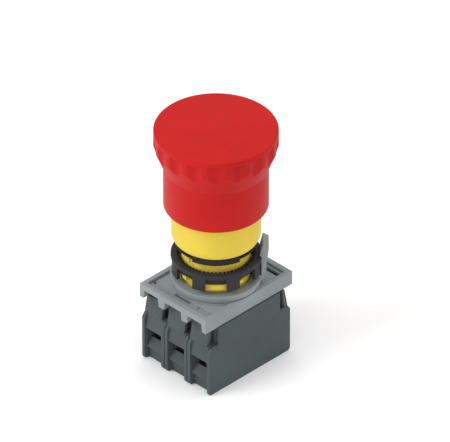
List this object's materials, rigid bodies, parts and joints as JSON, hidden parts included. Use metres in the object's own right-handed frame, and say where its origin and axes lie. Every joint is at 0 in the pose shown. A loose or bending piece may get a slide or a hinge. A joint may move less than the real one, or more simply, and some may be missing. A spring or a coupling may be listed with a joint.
{
  "type": "emergency stop button",
  "caption": "Red mushroom emergency stop button with a yellow sleeve, a panel ring nut, a lever-locked adapter and a row of screw-terminal contact blocks.",
  "frame": {"origin": "on the button's axis, in the plane of the contact blocks' undersides", "axes": "+Z along the button's axis from the contact blocks to the mushroom head; +Y and -Y towards the two terminal ends; +X across the row of blocks"},
  "size_m": [0.04, 0.04, 0.0886],
  "materials": {
    "red": "smooth satin thermoplastic",
    "yellow": "smooth satin thermoplastic",
    "black": "moulded glass-filled plastic",
    "rubber": "soft matt rubber",
    "grey": "light grey moulded plastic",
    "housing": "dark grey moulded plastic",
    "brass": "plain copper alloy",
    "steel": "zinc plated"
  },
  "bodies": {
    "body": {"sleeve": "yellow", "stem_seal": "rubber", "latch_ring": "black", "panel_gasket": "rubber", "adapter_plate": "grey", "return_spring": "steel", "housing_left": "housing", "cover_left": "housing", "plunger_spring_left": "steel", "fixed_contact_left_front": "brass", "fixed_contact_left_rear": "brass", "housing_centre": "housing", "cover_centre": "housing", "plunger_spring_centre": "steel", "fixed_contact_centre_front": "brass", "fixed_contact_centre_rear": "brass", "housing_right": "housing", "cover_right": "housing", "plunger_spring_right": "steel", "fixed_contact_right_front": "brass", "fixed_contact_right_rear": "brass"},
    "pusher": {"pusher": "black"},
    "head": {"mushroom_cap": "red", "stem": "black", "stem_clip": "steel"},
    "ring_nut": {"ring_nut": "black"},
    "lock_ring": {"lock_ring": "grey"},
    "latch_pin_left": {"latch_pin_left": "steel"},
    "latch_pin_right": {"latch_pin_right": "steel"},
    "plunger_left": {"plunger_left": "black", "bridge_left": "brass", "contact_spring_left": "steel"},
    "clamp_left_front": {"clamp_left_front": "steel"},
    "terminal_screw_left_front": {"terminal_screw_left_front": "steel"},
    "clamp_left_rear": {"clamp_left_rear": "steel"},
    "terminal_screw_left_rear": {"terminal_screw_left_rear": "steel"},
    "plunger_centre": {"plunger_centre": "black", "bridge_centre": "brass", "contact_spring_centre": "steel"},
    "clamp_centre_front": {"clamp_centre_front": "steel"},
    "terminal_screw_centre_front": {"terminal_screw_centre_front": "steel"},
    "clamp_centre_rear": {"clamp_centre_rear": "steel"},
    "terminal_screw_centre_rear": {"terminal_screw_centre_rear": "steel"},
    "plunger_right": {"plunger_right": "black", "bridge_right": "brass", "contact_spring_right": "steel"},
    "clamp_right_front": {"clamp_right_front": "steel"},
    "terminal_screw_right_front": {"terminal_screw_right_front": "steel"},
    "clamp_right_rear": {"clamp_right_rear": "steel"},
    "terminal_screw_right_rear": {"terminal_screw_right_rear": "steel"}
  },
  "joints": [
    {"name": "head_push", "type": "slide", "parent": "body", "child": "pusher", "axis": [0, 0, -1], "range_m": [0, 0.0055], "stiffness_N_per_m": 1200, "springref_m": -0.012, "deforming": ["return_spring"]},
    {"name": "head_turn", "type": "hinge", "parent": "pusher", "child": "head", "pos_m": [0, 0, 0.08], "axis": [0, 0, -1], "range_deg": [0, 30], "stiffness_Nm_per_rad": 0.1, "springref_deg": -17.19},
    {"name": "ring_nut_turn", "type": "hinge", "parent": "body", "child": "ring_nut", "pos_m": [0, 0, 0.0373], "axis": [0, 0, 1], "range_deg": [0, 40]},
    {"name": "lock_ring_turn", "type": "hinge", "parent": "body", "child": "lock_ring", "pos_m": [0, 0, 0.0313], "axis": [0, 0, 1], "range_deg": [0, 35]},
    {"name": "latch_pin_left_slide", "type": "slide", "parent": "body", "child": "latch_pin_left", "axis": [-1, 0, 0], "range_m": [0, 0.0008], "stiffness_N_per_m": 10, "springref_m": -0.002},
    {"name": "latch_pin_right_slide", "type": "slide", "parent": "body", "child": "latch_pin_right", "axis": [1, 0, 0], "range_m": [0, 0.0008], "stiffness_N_per_m": 10, "springref_m": -0.002},
    {"name": "plunger_left_slide", "type": "slide", "parent": "body", "child": "plunger_left", "axis": [0, 0, -1], "range_m": [0, 0.0055], "stiffness_N_per_m": 200, "springref_m": -0.004, "deforming": ["plunger_spring_left"]},
    {"name": "clamp_left_front_slide", "type": "slide", "parent": "body", "child": "clamp_left_front", "axis": [0, 0, 1], "range_m": [0, 0.00437]},
    {"name": "terminal_screw_left_front_turn", "type": "hinge", "parent": "clamp_left_front", "child": "terminal_screw_left_front", "pos_m": [-0.0103, -0.0115, 0.0052], "axis": [0, 0, 1], "range_deg": [0, 3150]},
    {"name": "clamp_left_rear_slide", "type": "slide", "parent": "body", "child": "clamp_left_rear", "axis": [0, 0, 1], "range_m": [0, 0.00437]},
    {"name": "terminal_screw_left_rear_turn", "type": "hinge", "parent": "clamp_left_rear", "child": "terminal_screw_left_rear", "pos_m": [-0.0103, 0.0115, 0.0052], "axis": [0, 0, 1], "range_deg": [0, 3150]},
    {"name": "plunger_centre_slide", "type": "slide", "parent": "body", "child": "plunger_centre", "axis": [0, 0, -1], "range_m": [0, 0.0055], "stiffness_N_per_m": 200, "springref_m": -0.004, "deforming": ["plunger_spring_centre"]},
    {"name": "clamp_centre_front_slide", "type": "slide", "parent": "body", "child": "clamp_centre_front", "axis": [0, 0, 1], "range_m": [0, 0.00437]},
    {"name": "terminal_screw_centre_front_turn", "type": "hinge", "parent": "clamp_centre_front", "child": "terminal_screw_centre_front", "pos_m": [0, -0.0115, 0.0052], "axis": [0, 0, 1], "range_deg": [0, 3150]},
    {"name": "clamp_centre_rear_slide", "type": "slide", "parent": "body", "child": "clamp_centre_rear", "axis": [0, 0, 1], "range_m": [0, 0.00437]},
    {"name": "terminal_screw_centre_rear_turn", "type": "hinge", "parent": "clamp_centre_rear", "child": "terminal_screw_centre_rear", "pos_m": [0, 0.0115, 0.0052], "axis": [0, 0, 1], "range_deg": [0, 3150]},
    {"name": "plunger_right_slide", "type": "slide", "parent": "body", "child": "plunger_right", "axis": [0, 0, -1], "range_m": [0, 0.0055], "stiffness_N_per_m": 200, "springref_m": -0.004, "deforming": ["plunger_spring_right"]},
    {"name": "clamp_right_front_slide", "type": "slide", "parent": "body", "child": "clamp_right_front", "axis": [0, 0, 1], "range_m": [0, 0.00437]},
    {"name": "terminal_screw_right_front_turn", "type": "hinge", "parent": "clamp_right_front", "child": "terminal_screw_right_front", "pos_m": [0.0103, -0.0115, 0.0052], "axis": [0, 0, 1], "range_deg": [0, 3150]},
    {"name": "clamp_right_rear_slide", "type": "slide", "parent": "body", "child": "clamp_right_rear", "axis": [0, 0, 1], "range_m": [0, 0.00437]},
    {"name": "terminal_screw_right_rear_turn", "type": "hinge", "parent": "clamp_right_rear", "child": "terminal_screw_right_rear", "pos_m": [0.0103, 0.0115, 0.0052], "axis": [0, 0, 1], "range_deg": [0, 3150]}
  ],
  "couplings": [
    {"joint": "plunger_left_slide", "follows": "head_push", "ratio": 1},
    {"joint": "terminal_screw_left_front_turn", "follows": "clamp_left_front_slide", "rad_per_m": 12566},
    {"joint": "terminal_screw_left_rear_turn", "follows": "clamp_left_rear_slide", "rad_per_m": 12566},
    {"joint": "plunger_centre_slide", "follows": "head_push", "ratio": 1},
    {"joint": "terminal_screw_centre_front_turn", "follows": "clamp_centre_front_slide", "rad_per_m": 12566},
    {"joint": "terminal_screw_centre_rear_turn", "follows": "clamp_centre_rear_slide", "rad_per_m": 12566},
    {"joint": "plunger_right_slide", "follows": "head_push", "ratio": 1},
    {"joint": "terminal_screw_right_front_turn", "follows": "clamp_right_front_slide", "rad_per_m": 12566},
    {"joint": "terminal_screw_right_rear_turn", "follows": "clamp_right_rear_slide", "rad_per_m": 12566}
  ]
}
